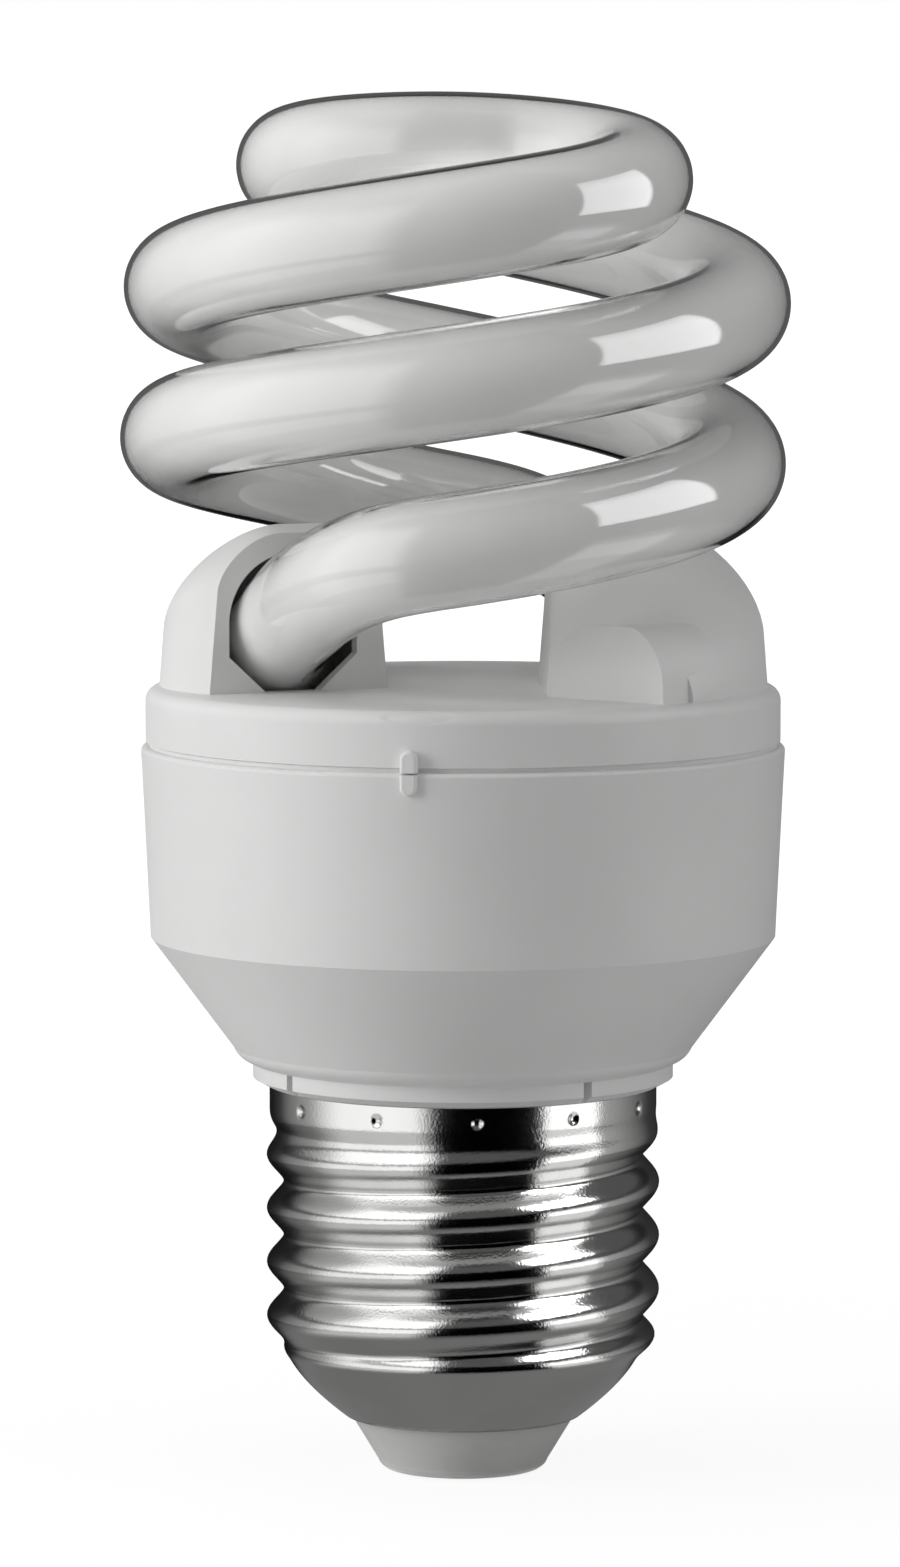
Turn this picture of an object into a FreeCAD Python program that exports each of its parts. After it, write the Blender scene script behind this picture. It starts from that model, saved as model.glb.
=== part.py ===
import FreeCAD, Part
import math
import os

os.makedirs("parts", exist_ok=True)

# All sizes in millimetres. Z runs up the lamp, and z = 0 is the face of the centre contact.

# Screw cap
thread_pitch = 3.629
thread_crest_radius = 13.15
thread_root_radius = 12.0
thread_left_crest = 21.35
thread_fullness = 0.75
shell_sheet = 0.28
shell_collar_radius = 12.95
shell_collar_bottom = 22.5
shell_top = 26.2
shell_dome_top = 8.6
shell_mouth_radius = 7.95
shell_mouth_height = 3.8
dome_fullness = 1.55
shell_columns = 30
shell_rows_per_pitch = 6

# Foot of the cap
insulator_bottom = 0.15
insulator_bottom_radius = 4.75
insulator_foot_radius = 5.7
insulator_foot_height = 0.75
insulator_round = 0.25
insulator_wall = 2.0
insulator_floor = 2.2
contact_radius = 4.4
contact_thickness = 0.55
contact_stem_radius = 1.5
solder_radius = 0.9
lead_hole_radius = 0.6
seat_clearance = 0.05
cup_clearance = 0.15

# Ballast housing
housing_radius = 21.45
housing_bend_radius = 20.85
housing_bend_height = 36.1
housing_cone_radius = 15.35
housing_cone_height = 28.7
housing_collar_radius = 14.05
housing_collar_top = 27.65
housing_collar_chamfer = 0.45
housing_collar_foot = 13.2
housing_wall = 1.5
housing_edge_round = 0.3
neck_wall = 1.2
neck_taper_top = 2.3
neck_taper_bottom = 1.3
parting_height = 48.85
collar_slot_width = 0.65
collar_slot_depth = 0.9
collar_slot_angle = 35.5
key_width = 1.1
key_height = 2.9
key_proud = 0.35
key_angle = -9.4
bead_height = 1.0
bead_proud = 0.25
bead_below_parting = 1.6

# Tube holder
holder_radius = 21.15
holder_plate_height = 52.8
holder_plate = 1.5
holder_edge_round = 0.9
skirt_depth = 3.2
skirt_wall = 1.1
skirt_clearance = 0.1
parting_groove = 0.25
hood_wall = 1.4
hood_face_wall = 1.0
hood_face_angle = 25.0
hood_face_inner = 5.45
hood_face_outer = 18.45
hood_face_height = 63.3
hood_back_radius = 20.35
hood_end_height = 57.7
hood_end_inner_angle = -59.4
hood_end_inner_radius = 10.8
hood_end_outer_angle = -50.4
hood_bump_length = 6.0
hood_draft = 0.1
hood_roundness = 0.45
mouth_radius = 4.6
mouth_centre = 12.35
mouth_height = 57.4
mouth_floor_half_width = 1.95
mouth_corner_height = 2.4

# Discharge tube
tube_radius = 3.73
coil_radius = 18.4
coil_lean = 1.6
coil_lean_height = 87.0
coil_shift = -0.15
bridge_angle = 285.0
bridge_height = 88.45
bridge_spread = 0.985
first_arm_pitch = 20.95
first_arm_height = 68.2
second_arm_pitch = 20.25
second_arm_height = 68.7
leave_angle = -96.0
socket_radius = 12.7
socket_height = 57.55
socket_slope = -0.45
socket_reach = 0.95
tail_turn = 46.0
tail_drop = 0.01

# Circuit board and what hangs from it
board_top = 44.2
board_thickness = 1.6
board_clearance = 0.3
board_seat_width = 0.9
rib_count = 6
rib_width = 1.2
rib_bottom = 37.5
part_gap = 0.1
lead_above_board = 1.0
lead_radius = 0.3
thick_lead_radius = 0.35
small_lead_radius = 0.25
lead_hole_gap = 0.1
pin_pitch = 1.27
smoothing_x = 1.0
smoothing_y = -3.0
smoothing_radius = 4.0
smoothing_length = 12.0
smoothing_lead_gap = 3.5
choke_x = -8.6
choke_y = 1.0
choke_width = 10.2
choke_height = 9.0
choke_depth = 4.8
choke_limb = 1.4
choke_middle_limb = 2.4
choke_joint = 0.1
choke_flange = 0.6
flange_overhang = 2.5
post_x = 3.5
post_y = 4.2
post_pad = 1.6
bobbin_wall = 0.5
ring_x = 0.2
ring_y = 10.5
ring_radius = 3.5
ring_bore = 1.9
ring_width = 2.6
ring_wire = 0.35
ring_turns = 5
ring_turn_angle = 22.0
transistor_x = 14.4
transistor_y = 3.4
transistor_gap = 5.8
transistor_radius = 2.35
transistor_tall = 4.6
transistor_flat = 1.5
transistor_drop = 2.0
diode_x = 7.6
diode_y = 3.4
diode_step = 2.5
diode_radius = 1.0
diode_length = 4.0
diode_span = 6.0
resistor_x = -11.8
resistor_y = -8.6
resistor_step = 2.4
resistor_radius = 0.85
resistor_length = 3.2
resistor_span = 5.0
diac_x = 12.9
diac_y = 9.6
diac_radius = 0.9
diac_length = 3.6
diac_span = 5.4
film_lead_inset = 1.2
resonant_x = 4.2
resonant_y = -12.4
resonant_size = (4.0, 8.0, 6.5)
blocking_x = 10.6
blocking_y = -9.6
blocking_size = (3.6, 7.0, 6.0)
disc_x = -15.3
disc_y = -5.6
disc_radius = 2.4
disc_width = 2.0
filter_x = -8.5
filter_y = 11.0
filter_radius = 2.9
filter_height = 8.0
filter_waist = 0.88
filter_flange = 1.0
filter_lead_offset = 1.5
wrap_pin_width = 0.8
wrap_pin_top = 48.2
wrap_pin_radius = 9.0
wrap_pin_angle = 320.0
wrap_pin_spread = 12.0
wrap_below_board = 0.8
tube_lead_radius = 0.2
tube_lead_spread = 1.2
tube_end_step = 0.02

# Wires in the neck
wire_radius = 0.45
fuse_radius = 1.6
fuse_length = 8.0
fuse_bottom = 9.0
live_board_x = 9.5
live_board_y = -2.0
live_turn_height = 36.0
neutral_board_x = -1.2
neutral_board_y = 16.0
neutral_turn_height = 36.0
neutral_angle = 100.0

axis_x = FreeCAD.Vector(1, 0, 0)
axis_y = FreeCAD.Vector(0, 1, 0)
axis_z = FreeCAD.Vector(0, 0, 1)
origin = FreeCAD.Vector(0, 0, 0)
front_angle = -90.0


def point(x, z):
    return FreeCAD.Vector(x, 0, z)


def polar(radius, degrees, z=0.0):
    angle = math.radians(degrees)
    return FreeCAD.Vector(radius * math.cos(angle), radius * math.sin(angle), z)


def line(a, b):
    return Part.makeLine(a, b)


def arc(a, b, c):
    return Part.Arc(a, b, c).toShape()


def revolve(edges):
    face = Part.Face(Part.Wire(edges))
    return face.revolve(origin, axis_z, 360)


def polygon(points):
    closed = points + [points[0]]
    return [line(a, b) for a, b in zip(closed, closed[1:])]


def turned(points):
    return revolve(polygon([point(x, z) for x, z in points]))


def cylinder(radius, bottom, top, x=0.0, y=0.0):
    return Part.makeCylinder(radius, top - bottom, FreeCAD.Vector(x, y, bottom), axis_z)


def block(width, depth, height, x, y, bottom):
    corner = FreeCAD.Vector(x - width / 2, y - depth / 2, bottom)
    return Part.makeBox(width, depth, height, corner)


def save(name, shapes):
    solids = shapes if isinstance(shapes, list) else [shapes]
    whole = solids[0] if len(solids) == 1 else Part.makeCompound(solids)
    whole.exportStep(f"parts/{name}.step")


def ease(value, start, end):
    share = min(max((value - start) / (end - start), 0.0), 1.0)
    return share * share * (3 - 2 * share)


# Screw shell: one rolled sheet, with a collar, a right-hand thread and a domed foot
def shell_profile(z):
    sag = max(shell_dome_top - z, 0.0) / (shell_dome_top - shell_mouth_height)
    return thread_root_radius - (thread_root_radius - shell_mouth_radius) * sag ** dome_fullness


def shell_skin_radius(degrees, z):
    turns = (z - thread_left_crest) / thread_pitch - (degrees - 180) / 360
    wave = (0.5 + 0.5 * math.cos(2 * math.pi * turns)) ** thread_fullness
    foot = ease(z, shell_dome_top - 1.1, shell_dome_top + 1.0)
    radius = shell_profile(z) + (thread_crest_radius - thread_root_radius) * foot * wave
    collar = ease(z, shell_collar_bottom - 1.2, shell_collar_bottom + 2.3)
    return radius + (shell_collar_radius - radius) * collar


def shell_ring(row, inset):
    rows = shell_row_count()
    z = shell_mouth_height + (shell_top - shell_mouth_height) * row / rows
    angles = [360 * step / shell_columns for step in range(shell_columns)]
    return [polar(shell_skin_radius(angle, z) - inset, angle, z) for angle in angles]


def shell_row_count():
    return round(shell_rows_per_pitch * (shell_top - shell_mouth_height) / thread_pitch)


def screw_shell():
    rows = shell_row_count()
    rings = [shell_ring(row, 0.0) for row in range(rows + 1)]
    rings += [shell_ring(row, shell_sheet) for row in range(rows, -1, -1)]
    spots = [spot for ring in rings for spot in ring]
    facets = []
    for ring in range(len(rings)):
        low = ring * shell_columns
        high = (ring + 1) % len(rings) * shell_columns
        for step in range(shell_columns):
            after = (step + 1) % shell_columns
            facets.append((low + step, low + after, high + after))
            facets.append((low + step, high + after, high + step))
    skin = Part.Shape()
    skin.makeShapeFromMesh((spots, facets), 0.001)
    return Part.makeSolid(skin)


# Insulator: a cone foot below the shell's mouth and a cup inside it
def cap_insulator():
    mouth = inside_shell(shell_mouth_radius)
    edge = shell_mouth_height + seat_clearance
    outer = [
        line(point(0, insulator_bottom), point(insulator_bottom_radius, insulator_bottom)),
        arc(
            point(insulator_bottom_radius, insulator_bottom),
            point(insulator_foot_radius - insulator_round, insulator_bottom + insulator_round * 0.8),
            point(insulator_foot_radius, insulator_foot_height),
        ),
        line(point(insulator_foot_radius, insulator_foot_height), point(mouth, edge)),
    ]
    rim = shell_dome_top
    middle = (shell_mouth_height + shell_dome_top) / 2
    hug = inside_shell(shell_profile(middle)) - cup_clearance
    cup = [point(mouth, edge), point(mouth, edge + cup_clearance), point(hug, middle)]
    cup.append(point(inside_shell(thread_root_radius) - cup_clearance, rim))
    outer += [line(a, b) for a, b in zip(cup, cup[1:])]
    top_radius = cup[-1].x
    floor = shell_mouth_height + insulator_floor
    bowl = [
        point(top_radius, rim),
        point(top_radius - insulator_wall, rim),
        point(mouth - insulator_wall, floor),
        point(0, floor),
        point(0, insulator_bottom),
    ]
    body = revolve(outer + [line(a, b) for a, b in zip(bowl, bowl[1:])])
    seat = cylinder(contact_radius + seat_clearance, 0, contact_thickness)
    bore = cylinder(contact_stem_radius + seat_clearance, 0, floor + 1)
    return body.cut(seat.fuse(bore))


def centre_contact():
    floor = shell_mouth_height + insulator_floor
    disc = cylinder(contact_radius, 0, contact_thickness - seat_clearance)
    disc = disc.makeFillet(0.15, [e for e in disc.Edges if e.BoundBox.ZMax < 0.01])
    stem = cylinder(contact_stem_radius, 0, floor - 0.3)
    return disc.fuse(stem).removeSplitter().cut(cylinder(solder_radius, -1, floor))


def contact_solder():
    floor = shell_mouth_height + insulator_floor
    plug = cylinder(solder_radius - 0.02, 0.05, floor - 0.8)
    return plug.cut(cylinder(lead_hole_radius, contact_thickness, floor))


# Ballast housing: cup, cone and neck moulded in one piece
def housing_wall_radius(z):
    share = (z - housing_bend_height) / (parting_height - housing_bend_height)
    return housing_bend_radius + (housing_radius - housing_bend_radius) * share


def inside_shell(radius):
    return (radius - shell_sheet) * math.cos(math.pi / shell_columns) - seat_clearance


def neck_radius():
    return inside_shell(shell_collar_radius)


def neck_foot_radius():
    return inside_shell(thread_root_radius)


def housing_inner_points():
    rise = housing_bend_height - housing_cone_height
    run = housing_bend_radius - housing_cone_radius
    length = math.hypot(rise, run)
    start_radius = housing_cone_radius - housing_wall * rise / length
    start_height = housing_cone_height + housing_wall * run / length
    slope = rise / run
    bore = neck_foot_radius() - neck_wall
    low = start_height - (start_radius - bore) * slope
    wall = housing_bend_radius - housing_wall
    high = start_height + (wall - start_radius) * slope
    return [
        (bore, shell_collar_bottom),
        (bore, low),
        (wall, high),
        (housing_radius - housing_wall, parting_height),
    ]


def ballast_housing():
    collar_bottom = shell_top
    step = housing_collar_radius + 0.3
    outside = [
        point(housing_radius, parting_height - housing_edge_round),
        point(housing_bend_radius, housing_bend_height),
        point(housing_cone_radius, housing_cone_height),
    ]
    edges = [line(a, b) for a, b in zip(outside, outside[1:])]
    round_end = point(step, housing_collar_top + 0.15)
    round_mid = point((housing_cone_radius + step) / 2 - 0.02, housing_cone_height - 0.68)
    edges.append(arc(outside[-1], round_mid, round_end))
    foot = [
        round_end,
        point(housing_collar_radius, housing_collar_top),
        point(housing_collar_radius, collar_bottom + housing_collar_chamfer),
        point(housing_collar_foot, collar_bottom),
        point(neck_radius(), collar_bottom),
        point(neck_radius(), shell_collar_bottom + neck_taper_top),
        point(neck_foot_radius(), shell_collar_bottom + neck_taper_bottom),
        point(neck_foot_radius(), shell_collar_bottom),
    ]
    foot += [point(x, z) for x, z in housing_inner_points()]
    edges += [line(a, b) for a, b in zip(foot, foot[1:])]
    lip = point(housing_radius - housing_edge_round, parting_height)
    corner = housing_edge_round * (1 - math.sqrt(0.5))
    lip_mid = point(housing_radius - corner, parting_height - corner)
    edges.append(line(foot[-1], lip))
    edges.append(arc(lip, lip_mid, outside[0]))
    body = revolve(edges)
    body = body.fuse(board_ribs())
    body = body.fuse(key_rib(False))
    for k in range(4):
        body = body.cut(collar_slot(front_angle + collar_slot_angle + 90 * k))
    return body.cut(snap_ring(seat_clearance + skirt_clearance)).removeSplitter()


def collar_slot(angle):
    slot = block(2.0, collar_slot_width, 1.9, 0, 0, shell_top - 0.3)
    slot.translate(FreeCAD.Vector(housing_collar_radius + 1.0 - collar_slot_depth, 0, 0))
    slot.rotate(origin, axis_z, angle)
    return slot.common(cylinder(housing_collar_radius + 1, shell_top - 0.3, housing_collar_top))


def board_bottom():
    return board_top - board_thickness


def board_radius():
    return housing_wall_radius(board_bottom()) - housing_wall - board_clearance


def board_ribs():
    inner = board_radius() - board_seat_width
    outer = housing_wall_radius(housing_bend_height) - housing_wall + 0.4
    height = board_bottom() - rib_bottom
    ribs = []
    for k in range(rib_count):
        rib = block(outer - inner, rib_width, height, (inner + outer) / 2, 0, rib_bottom)
        rib.rotate(origin, axis_z, 360 * (k + 0.5) / rib_count)
        ribs.append(rib)
    return Part.makeCompound(ribs)


def key_rib(upper):
    half = key_height / 2
    inner = holder_radius - 0.9
    outer = housing_radius + key_proud
    ends = (key_width / 2 - half, half - key_width / 2)
    pill = block(outer - inner, key_width, ends[1] - ends[0], (inner + outer) / 2, 0, ends[0])
    for z in ends:
        end = Part.makeCylinder(key_width / 2, outer - inner, FreeCAD.Vector(inner, 0, z), axis_x)
        pill = pill.fuse(end)
    pill = pill.removeSplitter()
    pill = pill.makeFillet(0.2, [e for e in pill.Edges if e.BoundBox.XMin > outer - 0.01])
    pill.translate(FreeCAD.Vector(0, 0, parting_height))
    pill.rotate(origin, axis_z, front_angle + key_angle)
    gap = 0.06
    bottom = parting_height + gap if upper else parting_height - key_height
    keep = cylinder(housing_radius + 5, bottom, bottom + key_height - (0 if upper else gap))
    return pill.common(keep)


def skirt_radius():
    return housing_wall_radius(parting_height - skirt_depth) - housing_wall - skirt_clearance


def snap_ring(room):
    radius = skirt_radius()
    z = parting_height - bead_below_parting
    half = bead_height / 2 + room
    points = [(radius - 0.4, z - half), (radius, z - half), (radius + bead_proud + room, z)]
    return turned(points + [(radius, z + half), (radius - 0.4, z + half)])


# Tube holder: rim, plate and two hooded sockets moulded in one piece
def shoulder(low, high, along):
    width = (high - low).dot(along)
    height = high.z - low.z
    curve = Part.BezierCurve()
    poles = [low, low + axis_z * height * hood_roundness]
    poles += [high - along * width * hood_roundness, high]
    curve.setPoles(poles)
    return curve.toShape()


def arch(inner, outer, base, top, shoulders, inset=0.0):
    along = outer - inner
    width = along.Length
    along.normalize()
    (inner_width, inner_height), (outer_width, outer_height) = shoulders
    top -= inset

    def place(u, z):
        spot = inner + along * u
        return FreeCAD.Vector(spot.x, spot.y, z)

    def side(height):
        return inset + hood_draft * (top - height - holder_plate_height)

    left = side(inner_height)
    right = width - side(outer_height)
    corners = [
        place(inset, base),
        place(left, top - inner_height),
        place(left + inner_width, top),
        place(right - outer_width, top),
        place(right, top - outer_height),
        place(width - inset, base),
    ]
    edges = [
        line(corners[0], corners[1]),
        shoulder(corners[1], corners[2], along),
        line(corners[2], corners[3]),
        shoulder(corners[4], corners[3], -along),
        line(corners[4], corners[5]),
        line(corners[5], corners[0]),
    ]
    return Part.Wire(Part.__sortEdges__(edges))


def hood_section(share, base, inset=0.0):
    inner = polar(hood_face_inner, hood_face_angle)
    inner = inner + (polar(hood_end_inner_radius, hood_end_inner_angle) - inner) * share
    angle = hood_face_angle + (hood_end_outer_angle - hood_face_angle) * share
    radius = hood_face_outer + (hood_back_radius - hood_face_outer) * ease(share, 0.0, 0.35)
    top = hood_face_height - (hood_face_height - hood_end_height + 0.8) * ease(share, 0.3, 1.0)
    spread = ease(share, 0.0, 0.3) - ease(share, 0.5, 1.0)
    shoulders = ((4.0, 5.0 - 1.5 * share), (4.5 + 3.5 * spread, 4.0 + 2.5 * spread))
    return arch(inner, polar(radius, angle), base, top, shoulders, inset)


def end_arch(base, inset=0.0):
    inner = polar(hood_end_inner_radius, hood_end_inner_angle)
    outer = polar(hood_back_radius, hood_end_outer_angle)
    return arch(inner, outer, base, hood_end_height, ((3.6, 3.2), (2.8, 3.5)), inset)


def end_inward():
    inner = polar(hood_end_inner_radius, hood_end_inner_angle)
    outer = polar(hood_back_radius, hood_end_outer_angle)
    across = outer - inner
    across.normalize()
    return FreeCAD.Vector(-across.y, across.x, 0)


def hood_outside():
    base = holder_plate_height - 1.0
    sections = [hood_section(share, base) for share in (0.0, 0.3, 0.62, 0.9)]
    main = Part.makeLoft(sections, True, False)
    bump = Part.Face(end_arch(base)).extrude(end_inward() * hood_bump_length)
    return main.fuse(bump)


def hood_inside():
    base = holder_plate_height - holder_plate - 0.5
    sweep = mouth_centre * math.radians(hood_face_angle - hood_end_outer_angle)
    shares = (hood_face_wall / sweep, 0.35, 0.62, 0.85)
    main = Part.makeLoft([hood_section(share, base, hood_wall) for share in shares], True, False)
    start = end_arch(base, hood_wall)
    start.translate(end_inward() * hood_wall)
    return main.fuse(Part.Face(start).extrude(end_inward() * (hood_bump_length - hood_wall)))


def hood_mouth():
    across = polar(1.0, hood_face_angle)
    through = polar(1.0, hood_face_angle - 90)

    def place(u, z):
        spot = across * (mouth_centre + u)
        return FreeCAD.Vector(spot.x, spot.y, z)

    floor = holder_plate_height
    corner = floor + mouth_corner_height
    path = [
        place(mouth_radius, mouth_height),
        place(mouth_radius, corner),
        place(mouth_floor_half_width, floor),
        place(-mouth_floor_half_width, floor),
        place(-mouth_radius, corner),
        place(-mouth_radius, mouth_height),
    ]
    edges = [line(a, b) for a, b in zip(path, path[1:])]
    edges.append(arc(path[-1], place(0, mouth_height + mouth_radius), path[0]))
    face = Part.Face(Part.Wire(edges))
    face.translate(through * -1.0)
    return face.extrude(through * 4.0)


def both_sides(shape):
    other = shape.copy()
    other.rotate(origin, axis_z, 180)
    return [shape, other]


def tube_holder():
    plate = holder_plate_height
    skirt = skirt_radius()
    low = parting_height - skirt_depth
    waist = holder_radius - parting_groove
    bead = parting_height + parting_groove
    lower = [(0, plate - holder_plate), (skirt - skirt_wall, plate - holder_plate)]
    lower += [(skirt - skirt_wall, low), (skirt, low), (skirt, parting_height)]
    lower += [(waist, parting_height), (waist, bead), (holder_radius, bead + 0.1)]
    lower += [(holder_radius, plate - holder_edge_round)]
    points = [point(x, z) for x, z in lower]
    edges = [line(a, b) for a, b in zip(points, points[1:])]
    corner = holder_edge_round * (1 - math.sqrt(0.5))
    top = point(holder_radius - holder_edge_round, plate)
    edges.append(arc(points[-1], point(holder_radius - corner, plate - corner), top))
    edges.append(line(top, point(0, plate)))
    edges.append(line(point(0, plate), points[0]))
    body = revolve(edges)
    for hood in both_sides(hood_outside()):
        body = body.fuse(hood)
    for hollow in both_sides(hood_inside()) + both_sides(hood_mouth()):
        body = body.cut(hollow)
    body = body.fuse(key_rib(True)).fuse(snap_ring(0.0))
    return body.removeSplitter()


# Discharge tube: two spiral arms, joined by a bridge and bent down into the sockets
def leaned(spot):
    angle = math.radians(coil_lean)
    z = spot.z - coil_lean_height
    x = spot.x * math.cos(angle) + z * math.sin(angle) + coil_shift
    return FreeCAD.Vector(x, spot.y, coil_lean_height - spot.x * math.sin(angle) + z * math.cos(angle))


def half_turn(spot):
    return FreeCAD.Vector(-spot.x, -spot.y, spot.z)


def bridge_points(start_height, slope):
    radius = coil_radius / 2 * bridge_spread
    middle = polar(radius, bridge_angle)
    length = math.pi * radius
    points = []
    for step in range(1, 8):
        share = step / 8
        spot = middle + polar(radius, bridge_angle + 180 * (1 - share))
        rise = 1 - ease(share, 0, 1)
        bow = share ** 3 - share ** 2
        z = bridge_height * rise + start_height * (1 - rise) - slope * length * bow
        points.append(FreeCAD.Vector(spot.x, spot.y, z))
    return points


def helix_point(angle, pitch, height):
    spread = bridge_spread + (1 - bridge_spread) * ease(bridge_angle - angle, 0, 70)
    return polar(coil_radius * spread, angle, height + pitch * angle / 360)


def socket_point(turn):
    reach = socket_radius * math.radians(turn)
    z = socket_height + socket_slope * reach - tail_drop * reach * reach
    return polar(socket_radius, hood_face_angle + 180 - turn, z)


def bend(start, start_way, end, end_way, reach):
    start_way = start_way * ((end - start).Length * reach / start_way.Length)
    end_way = end_way * ((end - start).Length * reach / end_way.Length)
    points = []
    for step in range(1, 6):
        t = step / 6
        spot = start * (2 * t ** 3 - 3 * t ** 2 + 1) + start_way * (t ** 3 - 2 * t ** 2 + t)
        spot = spot + end * (3 * t ** 2 - 2 * t ** 3) + end_way * (t ** 3 - t ** 2)
        points.append(spot)
    return points


def arm_points(pitch, height, second):
    turn = half_turn if second else (lambda spot: spot)
    slope = pitch / (2 * math.pi * coil_radius)
    start_height = height + pitch * bridge_angle / 360
    points = [leaned(turn(spot)) for spot in bridge_points(start_height, slope)]
    count = round((bridge_angle - leave_angle) / 12)
    for step in range(count + 1):
        angle = bridge_angle + (leave_angle - bridge_angle) * step / count
        points.append(leaned(turn(helix_point(angle, pitch, height))))
    way = points[-1] - leaned(turn(helix_point(leave_angle + 1, pitch, height)))
    entry = turn(socket_point(0))
    entry_way = turn(socket_point(1)) - entry
    points += bend(points[-1], way, entry, entry_way, socket_reach)
    for step in range(0, 5):
        points.append(turn(socket_point(tail_turn * step / 4)))
    return points


def discharge_tube():
    first = arm_points(first_arm_pitch, first_arm_height, False)
    second = arm_points(second_arm_pitch, second_arm_height, True)
    middle = leaned(FreeCAD.Vector(0, 0, bridge_height))
    points = first[::-1] + [middle] + second
    curve = Part.BSplineCurve()
    curve.interpolate(points)
    spine = Part.Wire([curve.toShape()])
    way = curve.tangent(curve.FirstParameter)[0]
    quarters = [Part.makeCircle(tube_radius, points[0], way, 90 * k, 90 * k + 90) for k in range(4)]
    tube = spine.makePipeShell([Part.Wire(quarters)], True, True)
    end_way = curve.tangent(curve.LastParameter)[0]
    for end, out in ((points[0], -way), (points[-1], end_way)):
        dome = Part.makeSphere(tube_radius - tube_end_step, end, out, 0, 90, 360)
        tube = tube.fuse(dome)
    share = tube.Volume / (math.pi * tube_radius ** 2 * (spine.Length + tube_radius * 4 / 3))
    print("tube length", round(spine.Length, 1), "volume share", round(share, 4))
    return tube


# Circuit board, and the parts that hang from it into the cone
def hang_top():
    return board_bottom() - part_gap


def lead(x, y, bottom, radius=lead_radius):
    return cylinder(radius, bottom, board_top + lead_above_board, x, y)


def both_ways(x, y, along_x, along_y, radius):
    return [(x - along_x, y - along_y, radius), (x + along_x, y + along_y, radius)]


def choke_posts():
    return [(choke_x + dx, choke_y + dy) for dx in (-post_x, post_x) for dy in (-post_y, post_y)]


def lead_spots():
    spots = both_ways(smoothing_x, smoothing_y, smoothing_lead_gap / 2, 0, lead_radius)
    spots += [(x, y, thick_lead_radius) for x, y in choke_posts()]
    for x, y in transistor_places():
        spots += [(x + dx, y, small_lead_radius) for dx in (-pin_pitch, 0.0, pin_pitch)]
    for x, y in diode_places():
        spots += both_ways(x, y, diode_span / 2, 0, thick_lead_radius)
    for x, y in resistor_places():
        spots += both_ways(x, y, 0, resistor_span / 2, small_lead_radius)
    spots += both_ways(diac_x, diac_y, 0, diac_span / 2, small_lead_radius)
    for x, y, size in film_places():
        spots += both_ways(x, y, 0, size[1] / 2 - film_lead_inset, lead_radius)
    spots += both_ways(disc_x, disc_y, 0, pin_pitch, small_lead_radius)
    spots += both_ways(filter_x, filter_y, filter_lead_offset, 0, lead_radius)
    spots += [(pin.x, pin.y, wrap_pin_width * math.sqrt(0.5)) for pin in wrap_pin_spots()]
    for x, y in ((live_board_x, live_board_y), (neutral_board_x, neutral_board_y)):
        spots.append((x, y, wire_radius))
    return spots


def circuit_board():
    board = cylinder(board_radius(), board_bottom(), board_top)
    holes = []
    for x, y, radius in lead_spots():
        holes.append(cylinder(radius + lead_hole_gap, board_bottom(), board_top, x, y))
    return board.cut(Part.makeCompound(holes))


def smoothing_capacitor():
    bottom = hang_top() - smoothing_length
    can = cylinder(smoothing_radius, bottom, hang_top())
    can = can.makeFillet(0.6, [e for e in can.Edges if e.BoundBox.ZLength < 0.01])
    groove = turned([(smoothing_radius + 1, -0.5), (smoothing_radius - 0.5, 0), (smoothing_radius + 1, 0.5)])
    groove.translate(FreeCAD.Vector(0, 0, hang_top() - 2.2))
    can = can.cut(groove)
    can.translate(FreeCAD.Vector(smoothing_x, smoothing_y, 0))
    for dx in (-smoothing_lead_gap / 2, smoothing_lead_gap / 2):
        can = can.fuse(lead(smoothing_x + dx, smoothing_y, hang_top() - 1))
    return can


def choke_frame(width, height, depth):
    return block(width, depth, height, choke_x, choke_y, choke_top() - choke_height / 2 - height / 2)


def choke_top():
    return hang_top() - choke_flange


def choke_core():
    halves = []
    window = choke_width / 2 - choke_limb - choke_middle_limb / 2
    whole = choke_frame(choke_width, choke_height, choke_depth)
    for side in (-1, 1):
        x = choke_x + side * (choke_middle_limb + window) / 2
        bottom = choke_top() - choke_height + choke_limb
        whole = whole.cut(block(window, choke_depth + 2, choke_window_height(), x, choke_y, bottom))
    half = (choke_height - choke_joint) / 2
    for bottom in (choke_top() - choke_height, choke_top() - half):
        keep = block(choke_width + 1, choke_depth + 1, half, choke_x, choke_y, bottom)
        halves.append(whole.common(keep))
    return halves


def choke_window_height():
    return choke_height - 2 * choke_limb


def choke_bobbin():
    bottom = choke_top() - choke_height + choke_limb + seat_clearance
    height = choke_window_height() - 2 * seat_clearance
    hole = choke_middle_limb + 2 * seat_clearance
    deep = choke_depth + 2 * seat_clearance
    tube = block(hole + 2 * bobbin_wall, deep + 2 * bobbin_wall, height, choke_x, choke_y, bottom)
    for z in (bottom, bottom + height - bobbin_wall):
        flange = block(bobbin_flange_width(), deep + 2 * flange_overhang, bobbin_wall, choke_x, choke_y, z)
        tube = tube.fuse(flange)
    tube = tube.cut(block(hole, deep, height, choke_x, choke_y, bottom))
    foot = bottom + height - bobbin_wall
    for x, y in choke_posts():
        pad = block(post_pad, post_pad, hang_top() - foot, x, y, foot)
        tube = tube.fuse(pad).fuse(lead(x, y, foot, thick_lead_radius))
    return tube.removeSplitter()


def bobbin_flange_width():
    return choke_width - 2 * choke_limb - 2 * seat_clearance


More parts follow.
